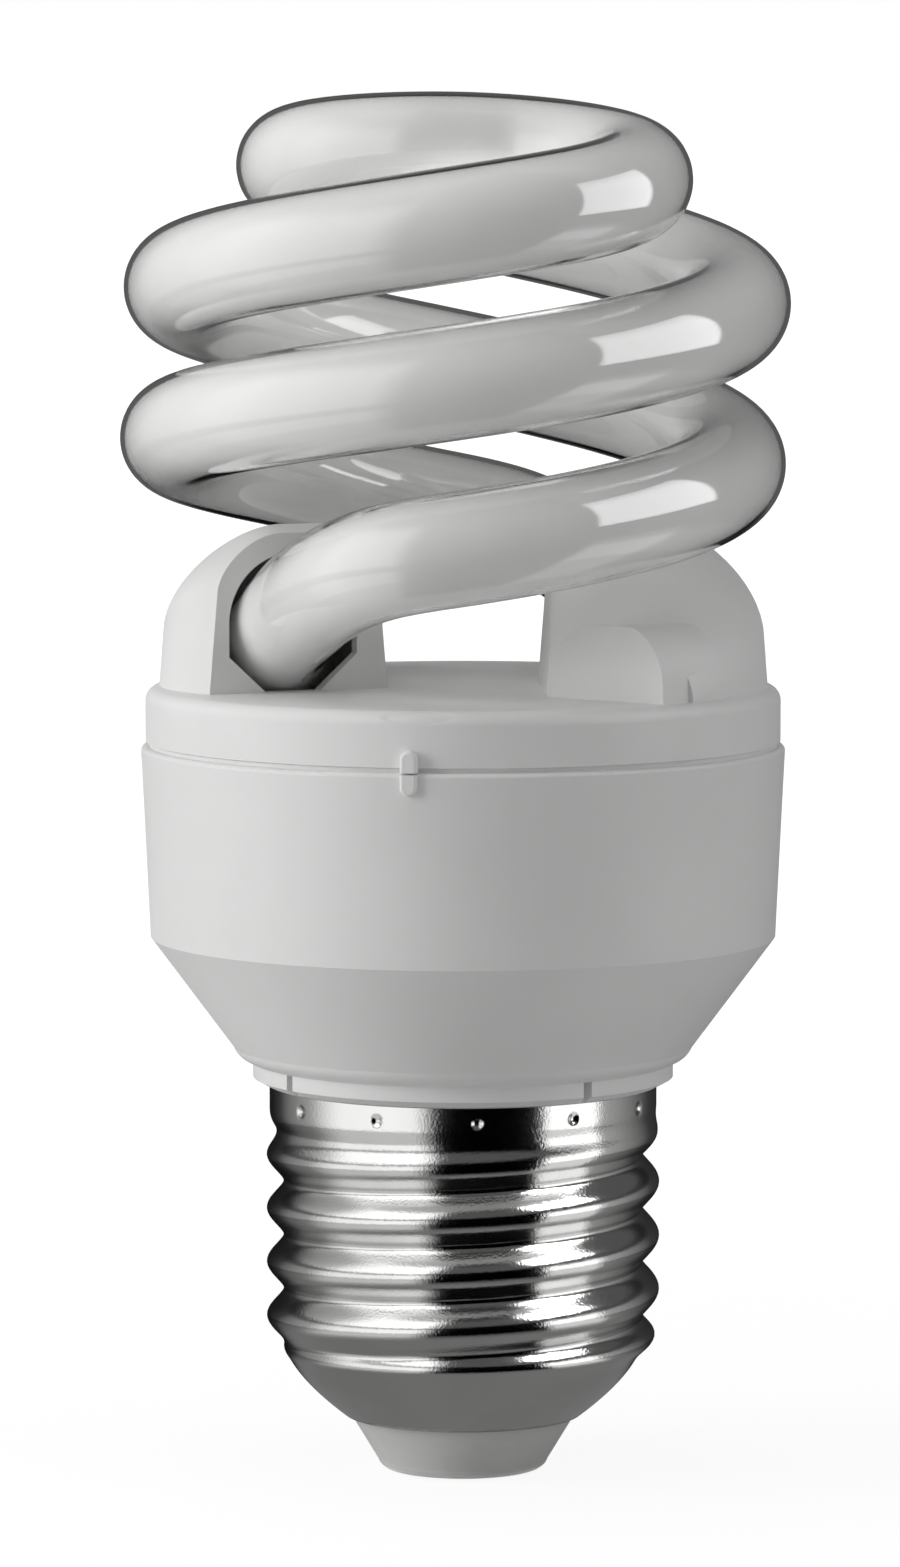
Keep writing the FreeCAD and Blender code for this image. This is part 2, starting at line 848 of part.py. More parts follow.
def choke_winding():
    bottom = choke_top() - choke_height + choke_limb + 2 * seat_clearance + bobbin_wall
    height = choke_window_height() - 4 * seat_clearance - 2 * bobbin_wall
    inner_x = choke_middle_limb + 2 * bobbin_wall + 4 * seat_clearance
    inner_y = choke_depth + 2 * bobbin_wall + 4 * seat_clearance
    outer_x = bobbin_flange_width() - 0.4
    outer_y = choke_depth + 2 * flange_overhang
    coil = block(outer_x, outer_y, height, choke_x, choke_y, bottom)
    upright = [e for e in coil.Edges if e.BoundBox.ZLength > height / 2]
    coil = coil.makeFillet(1.2, upright)
    return coil.cut(block(inner_x, inner_y, height, choke_x, choke_y, bottom))


def feedback_ring():
    middle = hang_top() - ring_radius
    start = FreeCAD.Vector(ring_x, ring_y - ring_width / 2, middle)
    ring = Part.makeCylinder(ring_radius, ring_width, start, axis_y)
    return ring.cut(Part.makeCylinder(ring_bore, ring_width, start, axis_y))


def ring_windings():
    middle = FreeCAD.Vector(ring_x, ring_y, hang_top() - ring_radius)
    centre = (ring_radius + ring_bore) / 2
    tall = ring_radius - ring_bore + 2 * seat_clearance
    wide = ring_width + 2 * seat_clearance
    turns = []
    for k in range(ring_turns):
        outer = block(ring_wire, wide + 2 * ring_wire, tall + 2 * ring_wire, 0, 0, -tall / 2 - ring_wire)
        loop = outer.cut(block(ring_wire + 1, wide, tall, 0, 0, -tall / 2))
        loop.translate(FreeCAD.Vector(0, 0, -centre))
        loop.rotate(origin, axis_y, (k - (ring_turns - 1) / 2) * ring_turn_angle)
        loop.translate(middle)
        turns.append(loop)
    return turns


def transistor_places():
    return [(transistor_x, transistor_y), (transistor_x, transistor_y - transistor_gap)]


def transistors():
    made = []
    for x, y in transistor_places():
        bottom = hang_top() - transistor_drop - transistor_tall
        body = cylinder(transistor_radius, bottom, bottom + transistor_tall, x, y)
        depth = transistor_radius * transistor_flat
        back = y + transistor_radius - depth / 2
        keep = block(2 * transistor_radius, depth, transistor_tall, x, back, bottom)
        body = body.common(keep)
        for dx in (-pin_pitch, 0.0, pin_pitch):
            body = body.fuse(lead(x + dx, y, bottom + transistor_tall - 0.5, small_lead_radius))
        made.append(body)
    return made


def lying_part(x, y, radius, length, span, wire, along_x):
    middle = hang_top() - radius
    way = axis_x if along_x else axis_y
    start = FreeCAD.Vector(x, y, middle) - way * (length / 2)
    body = Part.makeCylinder(radius, length, start, way)
    body = body.makeFillet(radius * 0.25, [e for e in body.Edges if len(e.Vertexes) == 1])
    rod = Part.makeCylinder(wire, span, FreeCAD.Vector(x, y, middle) - way * (span / 2), way)
    body = body.fuse(rod)
    for side in (-1, 1):
        foot = FreeCAD.Vector(x, y, middle) + way * (side * span / 2)
        body = body.fuse(Part.makeSphere(wire, foot)).fuse(lead(foot.x, foot.y, middle, wire))
    return body


def diode_places():
    return [(diode_x, diode_y + diode_step * k) for k in range(4)]


def rectifier_diodes():
    made = []
    for x, y in diode_places():
        sizes = (diode_radius, diode_length, diode_span, thick_lead_radius)
        made.append(lying_part(x, y, *sizes, True))
    return made


def resistor_places():
    return [(resistor_x + resistor_step * k, resistor_y) for k in range(4)]


def resistors():
    made = []
    for x, y in resistor_places():
        sizes = (resistor_radius, resistor_length, resistor_span, small_lead_radius)
        made.append(lying_part(x, y, *sizes, False))
    return made


def diac():
    return lying_part(diac_x, diac_y, diac_radius, diac_length, diac_span, small_lead_radius, False)


def film_places():
    return [(resonant_x, resonant_y, resonant_size), (blocking_x, blocking_y, blocking_size)]


def film_capacitor(x, y, size):
    width, depth, height = size
    body = block(width, depth, height, x, y, hang_top() - height)
    body = body.makeFillet(0.8, body.Edges)
    for dy in (film_lead_inset - depth / 2, depth / 2 - film_lead_inset):
        body = body.fuse(lead(x, y + dy, hang_top() - 1.5))
    return body


def start_capacitor():
    middle = FreeCAD.Vector(disc_x - disc_width / 2, disc_y, hang_top() - disc_radius)
    body = Part.makeCylinder(disc_radius, disc_width, middle, axis_x)
    body = body.makeFillet(0.7, [e for e in body.Edges if len(e.Vertexes) == 1])
    for dy in (-pin_pitch, pin_pitch):
        body = body.fuse(lead(disc_x, disc_y + dy, hang_top() - disc_radius, small_lead_radius))
    return body


def filter_choke():
    bottom = hang_top() - filter_height
    top = hang_top()
    waist = filter_radius * filter_waist
    flange = filter_flange
    slope = filter_flange + filter_radius - waist
    drum = turned([
        (0, bottom), (filter_radius, bottom), (filter_radius, bottom + flange), (waist, bottom + slope),
        (waist, top - slope), (filter_radius, top - flange), (filter_radius, top), (0, top),
    ])
    drum.translate(FreeCAD.Vector(filter_x, filter_y, 0))
    for dx in (-filter_lead_offset, filter_lead_offset):
        drum = drum.fuse(lead(filter_x + dx, filter_y, hang_top() - 0.8))
    return drum


# Wires from the board to the cap
def wire_run(points, bend_radius):
    edges = []
    last = points[0]
    for before, corner, after in zip(points, points[1:], points[2:]):
        back = before - corner
        on = after - corner
        back.normalize()
        on.normalize()
        half = math.acos(max(-1.0, min(1.0, back.dot(on)))) / 2
        reach = bend_radius / math.tan(half)
        start = corner + back * reach
        end = corner + on * reach
        out = back + on
        out.normalize()
        middle = corner + out * (bend_radius / math.sin(half) - bend_radius)
        edges.append(line(last, start))
        edges.append(arc(start, middle, end))
        last = end
    edges.append(line(last, points[-1]))
    return Part.Wire(edges)


def wire(points, bend_radius, radius):
    path = wire_run(points, bend_radius)
    ring = Part.Wire([Part.makeCircle(radius, points[0], points[1] - points[0])])
    return path.makePipeShell([ring], True, True)


def fuse_top():
    return fuse_bottom + fuse_length


def fuse_resistor():
    body = cylinder(fuse_radius, fuse_bottom, fuse_top())
    return body.makeFillet(0.5, [e for e in body.Edges if len(e.Vertexes) == 1])


def live_lead():
    low = cylinder(wire_radius, contact_thickness, fuse_bottom)
    high = [
        FreeCAD.Vector(0, 0, fuse_top()),
        FreeCAD.Vector(0, 0, fuse_top() + 5),
        FreeCAD.Vector(live_board_x, live_board_y, live_turn_height),
        FreeCAD.Vector(live_board_x, live_board_y, board_top + lead_above_board),
    ]
    return [low, wire(high, 1.6, wire_radius)]


def neutral_lead():
    x = neutral_board_x
    y = neutral_board_y
    radius = neck_foot_radius() - neck_wall - wire_radius - 0.1
    out = polar(radius, neutral_angle)
    points = [
        FreeCAD.Vector(x, y, board_top + lead_above_board),
        FreeCAD.Vector(x, y, neutral_turn_height),
        FreeCAD.Vector(out.x, out.y, housing_cone_height - 2.5),
        FreeCAD.Vector(out.x, out.y, shell_collar_bottom - 0.6),
    ]
    foot = polar(thread_root_radius - shell_sheet - wire_radius - 0.1, neutral_angle)
    points.append(FreeCAD.Vector(foot.x, foot.y, shell_collar_bottom - 3.0))
    return wire(points, 0.9, wire_radius)


def wrap_pin_spots():
    spots = []
    for side in (0, 180):
        for step in (-wrap_pin_spread, wrap_pin_spread):
            spots.append(polar(wrap_pin_radius, wrap_pin_angle + side + step))
    return spots


def wrap_pins():
    pins = []
    for spot in wrap_pin_spots():
        low = board_bottom() - wrap_below_board
        pins.append(block(wrap_pin_width, wrap_pin_width, wrap_pin_top - low, spot.x, spot.y, low))
    return pins


def tube_leads():
    end_radius = tube_radius - tube_end_step
    reach = math.sqrt(end_radius ** 2 - (tube_lead_spread - tube_lead_radius) ** 2) + tube_end_step
    leads = []
    for second in (False, True):
        turn = half_turn if second else (lambda spot: spot)
        end = turn(socket_point(tail_turn))
        way = end - turn(socket_point(tail_turn - 2))
        way.normalize()
        across = FreeCAD.Vector(-way.y, way.x, 0)
        across.normalize()
        spots = wrap_pin_spots()[:2] if second else wrap_pin_spots()[2:]
        pair = sorted(spots, key=lambda spot: (spot - end).dot(across))
        for spot, shift in zip(pair, (-tube_lead_spread, tube_lead_spread)):
            start = end + way * reach + across * shift
            pin = FreeCAD.Vector(spot.x, spot.y, wrap_pin_top - 1.0)
            side = start - pin
            side.z = 0
            side.normalize()
            stop = pin + side * (wrap_pin_width / 2 + 0.3)
            leads.append(wire([start, start + way * 1.2, stop], 0.5, tube_lead_radius))
    return leads


def main():
    makers = [
        discharge_tube, tube_holder, ballast_housing, screw_shell, cap_insulator, centre_contact,
        contact_solder, circuit_board, smoothing_capacitor, choke_core, choke_bobbin, choke_winding,
        feedback_ring, ring_windings, transistors, rectifier_diodes, resistors, diac, start_capacitor,
        filter_choke, fuse_resistor, live_lead, neutral_lead, wrap_pins, tube_leads,
    ]
    for maker in makers:
        save(maker.__name__, maker())
    save("resonant_capacitor", film_capacitor(resonant_x, resonant_y, resonant_size))
    save("blocking_capacitor", film_capacitor(blocking_x, blocking_y, blocking_size))


main()
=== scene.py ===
import math

import bpy
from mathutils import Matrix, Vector


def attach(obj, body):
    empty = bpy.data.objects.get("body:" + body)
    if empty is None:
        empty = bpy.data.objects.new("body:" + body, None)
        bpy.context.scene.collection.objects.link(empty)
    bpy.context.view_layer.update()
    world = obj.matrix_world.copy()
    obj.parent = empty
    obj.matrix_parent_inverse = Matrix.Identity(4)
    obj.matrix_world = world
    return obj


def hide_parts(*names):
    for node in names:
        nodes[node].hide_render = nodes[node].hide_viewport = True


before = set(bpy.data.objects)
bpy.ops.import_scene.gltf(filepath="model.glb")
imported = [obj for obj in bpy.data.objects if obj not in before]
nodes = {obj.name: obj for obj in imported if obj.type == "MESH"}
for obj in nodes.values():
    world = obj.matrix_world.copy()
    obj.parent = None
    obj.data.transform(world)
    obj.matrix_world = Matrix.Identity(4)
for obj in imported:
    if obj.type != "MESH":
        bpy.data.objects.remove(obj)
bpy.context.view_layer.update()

mm = 0.001

# Ballast housing: the cup, cone and neck that hold the circuit board. It is one moulding of
# white flame-proof plastic, and its outside has the fine satin grain of the mould.


class Wire:
    """One output of a finish's nodes. Sums on it add Math nodes."""

    def __init__(self, tree, socket=None):
        self.tree = tree
        self.socket = socket

    def node(self, kind, settings=None, sockets=None, out=0):
        made = self.tree.nodes.new(kind)
        for name, value in (settings or {}).items():
            if name == "stops":
                self.set_stops(made.color_ramp.elements, value)
            else:
                setattr(made, name, value)
        for name, value in (sockets or {}).items():
            if isinstance(value, Wire):
                self.tree.links.new(value.socket, made.inputs[name])
            else:
                made.inputs[name].default_value = value
        return Wire(self.tree, made.outputs[out] if made.outputs else None)

    def set_stops(self, stops, values):
        while len(stops) < len(values):
            stops.new(1.0)
        for stop, (place, tone) in zip(stops, values):
            stop.position = place
            stop.color = (tone, tone, tone, 1)

    def sum(self, operation, first, second):
        return self.node("ShaderNodeMath", {"operation": operation}, {0: first, 1: second})

    def __add__(self, other):
        return self.sum("ADD", self, other)

    def __radd__(self, other):
        return self.sum("ADD", other, self)

    def __sub__(self, other):
        return self.sum("SUBTRACT", self, other)

    def __rsub__(self, other):
        return self.sum("SUBTRACT", other, self)

    def __mul__(self, other):
        return self.sum("MULTIPLY", self, other)

    def __rmul__(self, other):
        return self.sum("MULTIPLY", other, self)

    def __truediv__(self, other):
        return self.sum("DIVIDE", self, other)

    def between(self, low, high):
        steps = {"interpolation_type": "SMOOTHSTEP"}
        return self.node("ShaderNodeMapRange", steps, {0: self, 1: low, 2: high, 3: 0.0, 4: 1.0})


def new_finish(name):
    made = bpy.data.materials.new(name)
    made.use_nodes = True
    made.node_tree.nodes.clear()
    return made, Wire(made.node_tree)


def noise(start, spot, size, detail=2.0):
    sockets = {"Vector": spot, "Scale": 1 / (size * mm), "Detail": detail}
    return start.node("ShaderNodeTexNoise", None, sockets)


def blended(start, share, first, second):
    return start.node("ShaderNodeMix", {"data_type": "RGBA"}, {0: share, 6: first, 7: second}, 2)


def relief(start, height, depth):
    sockets = {"Height": height, "Distance": depth * mm, "Strength": 1.0}
    return start.node("ShaderNodeBump", None, sockets)


def object_spot(start):
    return start.node("ShaderNodeTexCoord", None, None, "Object")


def dress(node, finish):
    mesh = nodes[node].data
    mesh.materials.clear()
    mesh.materials.append(finish)


def close(start, shader):
    start.node("ShaderNodeOutputMaterial", None, {"Surface": shader})


def moulded_plastic(name, pale, dull, roughness, grain):
    finish, start = new_finish(name)
    spot = object_spot(start)
    clouds = noise(start, spot, 14.0).between(0.35, 0.65)
    pores = noise(start, spot, grain, 3.0)
    shine = roughness + 0.08 * noise(start, spot, 5.0) + 0.05 * pores
    sockets = {
        "Base Color": blended(start, clouds, pale, dull),
        "Roughness": shine,
        "IOR": 1.49,
        "Normal": relief(start, pores, 0.012),
    }
    close(start, start.node("ShaderNodeBsdfPrincipled", None, sockets))
    return finish


housing_plastic = moulded_plastic(
    "housing_plastic", (0.80, 0.80, 0.795, 1), (0.77, 0.77, 0.765, 1), 0.44, 0.35
)
dress("ballast_housing", housing_plastic)


# Screw shell: a cup of thin brass sheet, rolled to a right-hand thread and nickel plated. It
# is pushed on to the housing's neck, and twelve punched dents in its collar hold it there.
# This finer shell stands for the faceted one and follows the same formula.
thread_pitch = 3.629
crest_radius = 13.15
root_radius = 12.0
left_crest_height = 21.35
thread_fullness = 0.75
collar_radius = 12.95
collar_bottom = 22.5
shell_top = 26.2
dome_top = 8.6
mouth_radius = 7.95
mouth_height = 3.8
dome_fullness = 1.55
fade_below_dome_top = 1.1
fade_above_dome_top = 1.0
fade_below_collar = 1.2
fade_above_collar = 2.3
sheet = 0.28
dent_count = 12
dent_first_angle = -86.0
dent_height = 25.1
dent_radius = 0.52
dent_depth = 0.22
shell_columns = 576
thread_row = 0.2
collar_row = 0.13
inner_row_skip = 3


def ease(value, start, end):
    share = min(max((value - start) / (end - start), 0.0), 1.0)
    return share * share * (3 - 2 * share)


def polar(radius, degrees, z=0.0):
    angle = math.radians(degrees)
    return Vector((radius * math.cos(angle), radius * math.sin(angle), z))


def dent(degrees, z):
    step = 360 / dent_count
    aside = (degrees - dent_first_angle + step / 2) % step - step / 2
    reach = math.hypot(math.radians(aside) * collar_radius, z - dent_height) / dent_radius
    return dent_depth * (1 - reach * reach) ** 2 if reach < 1 else 0.0


def shell_radius(degrees, z):
    turns = (z - left_crest_height) / thread_pitch - (degrees - 180) / 360
    wave = (0.5 + 0.5 * math.cos(2 * math.pi * turns)) ** thread_fullness
    sag = max(dome_top - z, 0.0) / (dome_top - mouth_height)
    body = root_radius - (root_radius - mouth_radius) * sag ** dome_fullness
    depth = (crest_radius - root_radius) * wave
    body += depth * ease(z, dome_top - fade_below_dome_top, dome_top + fade_above_dome_top)
    reach = ease(z, collar_bottom - fade_below_collar, collar_bottom + fade_above_collar)
    body += (collar_radius - body) * reach
    return body - dent(degrees, z)


def even_steps(low, high, step):
    count = round((high - low) / step)
    return [low + (high - low) * k / count for k in range(count + 1)]


def grid_mesh(name, rings, closed_rings=False):
    width = len(rings[0])
    spots = [spot * mm for ring in rings for spot in ring]
    faces = []
    for low in range(len(rings) if closed_rings else len(rings) - 1):
        start = low * width
        end = (low + 1) % len(rings) * width
        for side in range(width):
            after = (side + 1) % width
            faces.append((start + side, start + after, end + after, end + side))
    mesh = bpy.data.meshes.new(name)
    mesh.from_pydata(spots, [], faces)
    mesh.shade_smooth()
    return mesh


def show(name, mesh, finish, slot, *stands_for):
    piece = bpy.data.objects.new(name, mesh)
    bpy.context.scene.collection.objects.link(piece)
    mesh.materials.append(finish)
    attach(piece, "root")
    if stands_for:
        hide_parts(*stands_for)
    return piece


def shell_rings(heights, inset):
    angles = [360 * step / shell_columns for step in range(shell_columns)]
    return [[polar(shell_radius(angle, z) - inset, angle, z) for angle in angles] for z in heights]


shell_heights = even_steps(mouth_height, collar_bottom, thread_row)
shell_heights += even_steps(collar_bottom, shell_top, collar_row)[1:]
rings = shell_rings(shell_heights, 0) + shell_rings(shell_heights[::-inner_row_skip], sheet)
shell_mesh = grid_mesh("screw_shell_rolled", rings, True)


def worn_metal(name, tint, roughness):
    finish, start = new_finish(name)
    spot = object_spot(start)
    stretched = start.node("ShaderNodeMapping", None, {"Vector": spot, "Scale": (0.15, 0.15, 4.0)})
    lines = noise(start, stretched, 1.2, 4.0)
    smears = noise(start, spot, 6.0, 3.0).between(0.4, 0.7)
    sand = noise(start, spot, 0.17, 2.0)
    shade = tuple(0.93 * part for part in tint[:3]) + (1,)
    sockets = {
        "Base Color": blended(start, smears, tint, shade),
        "Metallic": 1.0,
        "Roughness": roughness + 0.04 * smears + 0.03 * lines,
        "Normal": relief(start, lines + 2.5 * sand, 0.004),
    }
    close(start, start.node("ShaderNodeBsdfPrincipled", None, sockets))
    return finish


shell_nickel = worn_metal("nickel_plate", (0.72, 0.72, 0.71, 1), 0.1)
show("screw_shell_rolled", shell_mesh, shell_nickel, "nickel_plate", "screw_shell")


# Foot of the cap: a pale grey moulded insulator closes the shell's mouth. It carries the
# brass centre contact, with a bead of solder over the end of the wire.
def moulded_insulator(name, pale, dull):
    finish, start = new_finish(name)
    spot = object_spot(start)
    specks = noise(start, spot, 0.6, 4.0)
    sockets = {
        "Base Color": blended(start, noise(start, spot, 4.0).between(0.3, 0.7), pale, dull),
        "Roughness": 0.3 + 0.15 * specks,
        "Normal": relief(start, specks, 0.02),
    }
    close(start, start.node("ShaderNodeBsdfPrincipled", None, sockets))
    return finish


insulator = moulded_insulator("insulator", (0.71, 0.71, 0.70, 1), (0.65, 0.65, 0.64, 1))
dress("cap_insulator", insulator)
dress("centre_contact", worn_metal("contact_brass", (0.80, 0.66, 0.40, 1), 0.2))
dress("contact_solder", worn_metal("solder", (0.70, 0.70, 0.71, 1), 0.3))


# Ballast: the round circuit board and the parts soldered to it, which the closed housing
# hides. Each kind of part has the plain finish of its real coat, can, ferrite or wire.
def coated(name, colour, roughness, metallic=0.0, grain=1.0, depth=0.01):
    finish, start = new_finish(name)
    spot = object_spot(start)
    mottle = noise(start, spot, grain, 3.0)
    shade = tuple(0.8 * part for part in colour) + (1,)
    sockets = {
        "Base Color": blended(start, mottle, colour + (1,), shade),
        "Roughness": roughness + 0.1 * mottle,
        "Metallic": metallic,
        "Normal": relief(start, mottle, depth),
    }
    close(start, start.node("ShaderNodeBsdfPrincipled", None, sockets))
    return finish


laminate = coated("board_laminate", (0.62, 0.52, 0.30), 0.55, grain=0.8)
sleeve = coated("shrink_sleeve", (0.06, 0.07, 0.10), 0.25, grain=3.0)
ferrite = coated("ferrite", (0.10, 0.10, 0.10), 0.6, grain=0.3)
bobbin = coated("bobbin_plastic", (0.09, 0.09, 0.09), 0.4)
copper = coated("enamelled_copper", (0.72, 0.36, 0.16), 0.3, 1.0, 0.3, 0.03)
epoxy = coated("moulded_epoxy", (0.05, 0.05, 0.05), 0.5, grain=0.4)
lacquer = coated("resistor_lacquer", (0.66, 0.53, 0.34), 0.35)
red_dip = coated("dipped_film", (0.48, 0.12, 0.07), 0.2, grain=2.0)
orange_dip = coated("dipped_disc", (0.70, 0.40, 0.10), 0.35, grain=1.5)
amber_glass = coated("diac_glass", (0.45, 0.30, 0.15), 0.08)
sleeving = coated("wire_sleeve", (0.72, 0.72, 0.70), 0.45)
tinned = coated("tinned_wire", (0.68, 0.68, 0.69), 0.3, 1.0, 0.4)

inside_finishes = {
    "circuit_board": laminate,
    "smoothing_capacitor": sleeve,
    "choke_core": ferrite,
    "choke_bobbin": bobbin,
    "choke_winding": copper,
    "feedback_ring": ferrite,
    "ring_windings": copper,
    "transistors": epoxy,
    "rectifier_diodes": epoxy,
    "resistors": lacquer,
    "diac": amber_glass,
    "start_capacitor": orange_dip,
    "filter_choke": ferrite,
    "fuse_resistor": lacquer,
    "resonant_capacitor": red_dip,
    "blocking_capacitor": red_dip,
    "live_lead": sleeving,
    "neutral_lead": sleeving,
    "wrap_pins": tinned,
    "tube_leads": tinned,
}
for node, finish in inside_finishes.items():
    dress(node, finish)


# Tube holder: the round lid that snaps into the housing, with two hooded sockets for the
# tube's ends. It is moulded in the same plastic, a little smoother, and the gate of the
# mould has left a small shiny mark on the front of its rim.
gate_place = (-2.9 * mm, -20.9 * mm, 52.4 * mm)
gate_half_width = 2.6
gate_half_depth = 4
gate_half_height = 0.45


def holder_finish():
    finish, start = new_finish("holder_plastic")
    spot = object_spot(start)
    pores = noise(start, spot, 0.4, 3.0)
    clouds = noise(start, spot, 12.0).between(0.35, 0.65)
    away = start.node("ShaderNodeVectorMath", {"operation": "SUBTRACT"}, {0: spot, 1: gate_place})
    halves = (gate_half_width, gate_half_depth, gate_half_height)
    scale = tuple(1 / (half * mm) for half in halves)
    away = start.node("ShaderNodeVectorMath", {"operation": "MULTIPLY"}, {0: away, 1: scale})
    reach = start.node("ShaderNodeVectorMath", {"operation": "LENGTH"}, {0: away}, "Value")
    gate = 1 - reach.between(0.75, 1.0)
    sockets = {
        "Base Color": blended(start, clouds, (0.81, 0.81, 0.805, 1), (0.78, 0.78, 0.775, 1)),
        "Roughness": 0.48 + 0.06 * pores - 0.3 * gate,
        "IOR": 1.49,
        "Normal": relief(start, pores * 0.1 - gate, 0.05),
    }
    close(start, start.node("ShaderNodeBsdfPrincipled", None, sockets))
    return finish


dress("tube_holder", holder_finish())


# Discharge tube: one long glass tube wound into two spiral arms that meet in a bridge at the
# top and bend down into the sockets. The glass is clear, and a white phosphor coat lines its
# bore, so its edges show as a clear rim. Both pieces follow the solid tube's own path.
glass_radius = 3.72
bore_radius = 3.42
coat_radius = 3.41
coil_radius = 18.4
coil_lean = 1.6
coil_lean_height = 87.0
coil_shift = -0.15
bridge_angle = 285.0
bridge_height = 88.45
bridge_spread = 0.985
bridge_steps = 8
spread_angle = 70
first_arm_pitch = 20.95
first_arm_height = 68.2
second_arm_pitch = 20.25
second_arm_height = 68.7
leave_angle = -96.0
helix_step = 12
socket_angle = 25.0
socket_radius = 12.7
socket_height = 57.55
socket_slope = -0.45
socket_reach = 0.95
bend_steps = 6
tail_turn = 46.0
tail_drop = 0.01
tail_steps = 4
tube_sides = 64
steps_per_span = 5
dome_angles = (0.4, 0.8, 1.2, 1.57)


def leaned(spot):
    angle = math.radians(coil_lean)
    z = spot.z - coil_lean_height
    x = spot.x * math.cos(angle) + z * math.sin(angle) + coil_shift
    return Vector((x, spot.y, coil_lean_height - spot.x * math.sin(angle) + z * math.cos(angle)))


def half_turn(spot):
    return Vector((-spot.x, -spot.y, spot.z))


def bridge_points(start_height, slope):
    radius = coil_radius / 2 * bridge_spread
    points = []
    for step in range(1, bridge_steps):
        share = step / bridge_steps
        spot = polar(radius, bridge_angle) + polar(radius, bridge_angle + 180 * (1 - share))
        rise = 1 - ease(share, 0, 1)
        bow = share ** 3 - share ** 2
        spot.z = bridge_height * rise + start_height * (1 - rise) - slope * math.pi * radius * bow
        points.append(spot)
    return points


def helix_point(angle, pitch, height):
    spread = bridge_spread + (1 - bridge_spread) * ease(bridge_angle - angle, 0, spread_angle)
    return polar(coil_radius * spread, angle, height + pitch * angle / 360)


def socket_point(turn):
    reach = socket_radius * math.radians(turn)
    z = socket_height + socket_slope * reach - tail_drop * reach * reach
    return polar(socket_radius, socket_angle + 180 - turn, z)


def bend(start, start_way, end, end_way):
    start_way = start_way.normalized() * (end - start).length * socket_reach
    end_way = end_way.normalized() * (end - start).length * socket_reach
    points = []
    for step in range(1, bend_steps):
        t = step / bend_steps
        spot = start * (2 * t ** 3 - 3 * t ** 2 + 1) + start_way * (t ** 3 - 2 * t ** 2 + t)
        points.append(spot + end * (3 * t ** 2 - 2 * t ** 3) + end_way * (t ** 3 - t ** 2))
    return points


def arm_points(pitch, height, turn):
    slope = pitch / (2 * math.pi * coil_radius)
    start_height = height + pitch * bridge_angle / 360
    points = [leaned(turn(spot)) for spot in bridge_points(start_height, slope)]
    count = round((bridge_angle - leave_angle) / helix_step)
    for step in range(count + 1):
        angle = bridge_angle + (leave_angle - bridge_angle) * step / count
        points.append(leaned(turn(helix_point(angle, pitch, height))))
    way = points[-1] - leaned(turn(helix_point(leave_angle + 1, pitch, height)))
    entry = turn(socket_point(0))
    points += bend(points[-1], way, entry, turn(socket_point(1)) - entry)
    tail = [turn(socket_point(tail_turn * step / tail_steps)) for step in range(tail_steps + 1)]
    return points + tail


def smooth_line(points):
    ends = [2 * points[0] - points[1]] + points + [2 * points[-1] - points[-2]]
    line = []
    for a, b, c, d in zip(ends, ends[1:], ends[2:], ends[3:]):
        for step in range(steps_per_span):
            t = step / steps_per_span
            line.append(
                b + (c - a) * (t / 2) + (2 * a - 5 * b + 4 * c - d) * (t * t / 2)
                + (3 * b - a - 3 * c + d) * (t ** 3 / 2)
            )
    return line + [points[-1]]


def tube_rings(line, radius):
    ways = [(b - a).normalized() for a, b in zip([line[0]] + line, line[1:] + [line[-1]])]
    side = ways[0].orthogonal().normalized()
    rings = []
    last = len(line) - 1
    for k, (spot, way) in enumerate(zip(line, ways)):
        side = (side - way * side.dot(way)).normalized()
        across = way.cross(side)
        if k == 0:
            caps = [(-math.sin(t), math.cos(t)) for t in dome_angles[::-1]] + [(0, 1)]
        elif k == last:
            caps = [(0, 1)] + [(math.sin(t), math.cos(t)) for t in dome_angles]
        else:
            caps = [(0, 1)]
        for out, share in caps:
            ring = []
            for step in range(tube_sides):
                angle = 2 * math.pi * step / tube_sides
                around = side * math.cos(angle) + across * math.sin(angle)
                ring.append(spot + way * (out * radius) + around * (radius * share))
            rings.append(ring)
    return rings


first_arm = arm_points(first_arm_pitch, first_arm_height, lambda spot: spot)
second_arm = arm_points(second_arm_pitch, second_arm_height, half_turn)
middle = leaned(Vector((0, 0, bridge_height)))
tube_line = smooth_line(first_arm[::-1] + [middle] + second_arm)


def clear_glass():
    finish, start = new_finish("tube_glass")
    glass = start.node("ShaderNodeBsdfPrincipled", None, {
        "Base Color": (0.98, 0.98, 0.98, 1), "Roughness": 0.0, "IOR": 1.5, "Transmission Weight": 1.0,
    })
    clear = start.node("ShaderNodeBsdfTransparent", None, {"Color": (0.98, 0.98, 0.98, 1)})
    shadow = start.node("ShaderNodeLightPath", None, None, "Is Shadow Ray")
    diffuse = start.node("ShaderNodeLightPath", None, None, "Is Diffuse Ray")
    unbent = start.sum("MAXIMUM", shadow, diffuse)
    close(start, start.node("ShaderNodeMixShader", None, {0: unbent, 1: glass, 2: clear}))
    return finish


def phosphor():
    finish, start = new_finish("phosphor_coat")
    spot = object_spot(start)
    flow = noise(start, spot, 7.0, 3.0).between(0.3, 0.7)
    dust = noise(start, spot, 0.25, 2.0)
    sockets = {
        "Base Color": blended(start, flow, (0.93, 0.93, 0.92, 1), (0.90, 0.90, 0.89, 1)),
        "Roughness": 0.9,
        "Specular IOR Level": 0.1,
        "Normal": relief(start, dust, 0.01),
    }
    close(start, start.node("ShaderNodeBsdfPrincipled", None, sockets))
    return finish


